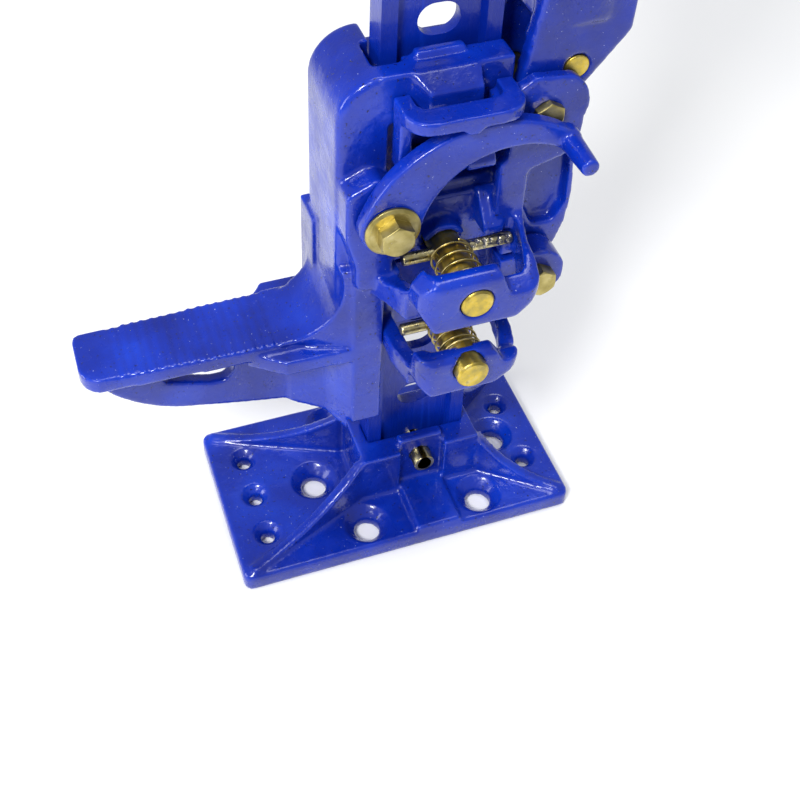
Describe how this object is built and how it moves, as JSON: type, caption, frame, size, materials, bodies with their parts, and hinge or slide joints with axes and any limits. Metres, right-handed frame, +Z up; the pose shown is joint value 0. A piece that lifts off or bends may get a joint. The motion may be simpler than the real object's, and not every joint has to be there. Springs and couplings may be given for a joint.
{
  "type": "toe jack",
  "caption": "Ratcheting farm jack that climbs a holed I-bar on a wide foot, with a serrated lifting toe, spring-loaded climbing pins, reversing lever and long handle.",
  "frame": {"origin": "on the floor, at the underside of the base plate, under the centre of the rack bar", "axes": "+Z up along the rack bar, the toe points to -X, the handle is on the +X side, the climbing pins face -Y"},
  "size_m": [0.2611, 0.1251, 0.85],
  "materials": {
    "blue_casting": "glossy blue paint on cast iron",
    "blue_bar": "glossy blue paint on rolled steel",
    "yellow_zinc": "yellow zinc plating",
    "spring_steel": "plated spring wire",
    "black_plastic": "moulded plastic plug"
  },
  "bodies": {
    "stand": {"base_plate": "blue_casting", "rack_bar": "blue_bar", "base_roll_pin": "yellow_zinc", "top_clamp": "blue_casting", "top_clamp_bolt": "yellow_zinc", "top_clamp_nut": "yellow_zinc"},
    "runner": {"large_runner": "blue_casting", "switch_pivot_bolt": "yellow_zinc", "handle_pivot_bolt": "yellow_zinc", "handle_pivot_nut": "yellow_zinc"},
    "upper_pin": {"upper_climbing_pin": "yellow_zinc", "upper_cross_pin": "yellow_zinc", "upper_pin_spring": "spring_steel"},
    "lower_pin": {"lower_climbing_pin": "yellow_zinc", "lower_cross_pin": "yellow_zinc", "lower_pin_spring": "spring_steel"},
    "lower_runner": {"small_runner": "blue_casting", "link_lug_bolt": "yellow_zinc", "link_lug_nut": "yellow_zinc"},
    "link": {"pitman": "blue_casting"},
    "handle": {"handle_socket": "blue_casting", "crank_pin": "yellow_zinc", "handle_tube": "blue_bar", "handle_tube_cap": "black_plastic", "handle_tube_bolt": "yellow_zinc", "handle_tube_nut": "yellow_zinc"},
    "switch": {"reversing_switch": "blue_casting"},
    "latch": {"reversing_latch": "blue_casting"}
  },
  "joints": [
    {"name": "runner_slide", "type": "slide", "parent": "stand", "child": "runner", "axis": [0, 0, 1], "range_m": [-0.022, 0.462]},
    {"name": "upper_pin_slide", "type": "slide", "parent": "runner", "child": "upper_pin", "axis": [0, 1, 0], "range_m": [0, 0.0075], "deforming": ["upper_pin_spring"]},
    {"name": "handle_swing", "type": "hinge", "parent": "runner", "child": "handle", "pos_m": [0.0432, 0, 0.272], "axis": [0, 1, 0], "range_deg": [0, 60]},
    {"name": "lower_runner_slide", "type": "slide", "parent": "runner", "child": "lower_runner", "axis": [0, 0, 1], "range_m": [-0.022, 0]},
    {"name": "lower_pin_slide", "type": "slide", "parent": "lower_runner", "child": "lower_pin", "axis": [0, 1, 0], "range_m": [0, 0.0105], "deforming": ["lower_pin_spring"]},
    {"name": "link_swing", "type": "hinge", "parent": "lower_runner", "child": "link", "pos_m": [0.05, 0, 0.171], "axis": [0, 1, 0], "range_deg": [0, 3.12]},
    {"name": "switch_swing", "type": "hinge", "parent": "runner", "child": "switch", "pos_m": [-0.0327, -0.038, 0.2339], "axis": [0, 1, 0], "range_deg": [0, 25]},
    {"name": "latch_slide", "type": "slide", "parent": "runner", "child": "latch", "axis": [0, 0, 1], "range_m": [-0.006, 0]}
  ],
  "couplings": [
    {"joint": "lower_runner_slide", "follows": "handle_swing", "m_per_rad": -0.021008},
    {"joint": "link_swing", "follows": "handle_swing", "ratio": 0.052},
    {"joint": "latch_slide", "follows": "switch_swing", "m_per_rad": -0.013751}
  ]
}
